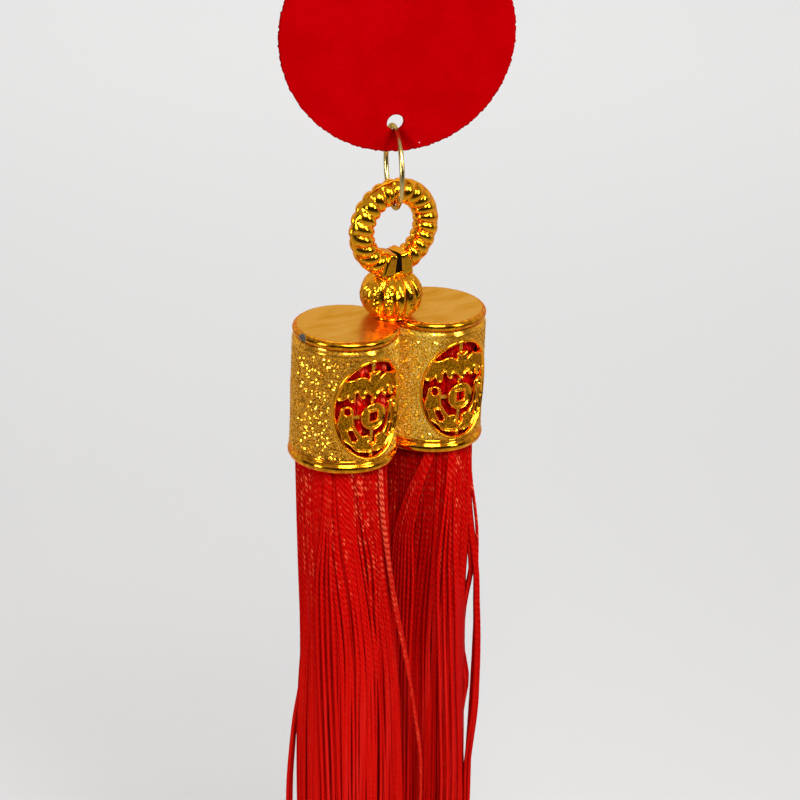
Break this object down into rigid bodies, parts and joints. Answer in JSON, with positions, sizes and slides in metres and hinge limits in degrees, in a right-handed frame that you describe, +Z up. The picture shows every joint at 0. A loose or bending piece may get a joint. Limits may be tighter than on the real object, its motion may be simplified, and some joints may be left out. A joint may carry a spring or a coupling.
{
  "type": "chinese knot tassel pendant",
  "caption": "Hanging ornament: red flocked disc, wire ring, ribbed gold ring, fluted bead and a double barrel cap with pierced medallions holding red silk tassels.",
  "frame": {"origin": "middle of the upper hole of the disc, where the pendant is hung up", "axes": "+Z up, away from the tassels; the barrels stand side by side along X and the front faces -Y"},
  "size_m": [0.0576, 0.026, 0.3266],
  "materials": {
    "red_flock": "short flocked pile",
    "brass_wire": "drawn wire, lightly polished",
    "gold_plating": "gold plated, polished and hammered",
    "red_silk": "twisted silky thread"
  },
  "bodies": {
    "disc": {"plaque_disc": "red_flock"},
    "wire": {"wire_ring": "brass_wire"},
    "pendant": {"ribbed_ring": "gold_plating", "fluted_bead": "gold_plating", "barrel_cap": "gold_plating", "tassel_left": "red_silk", "tassel_right": "red_silk"}
  },
  "joints": [
    {"name": "wire_swing", "type": "hinge", "parent": "disc", "child": "wire", "pos_m": [-0.0006, 0.00025, -0.04167], "axis": [-0.3843, -0.9232, 0], "range_deg": [-45, 45]},
    {"name": "pendant_swing", "type": "hinge", "parent": "wire", "child": "pendant", "pos_m": [0, 0, -0.05675], "axis": [1, 0, 0], "range_deg": [-60, 60]}
  ]
}
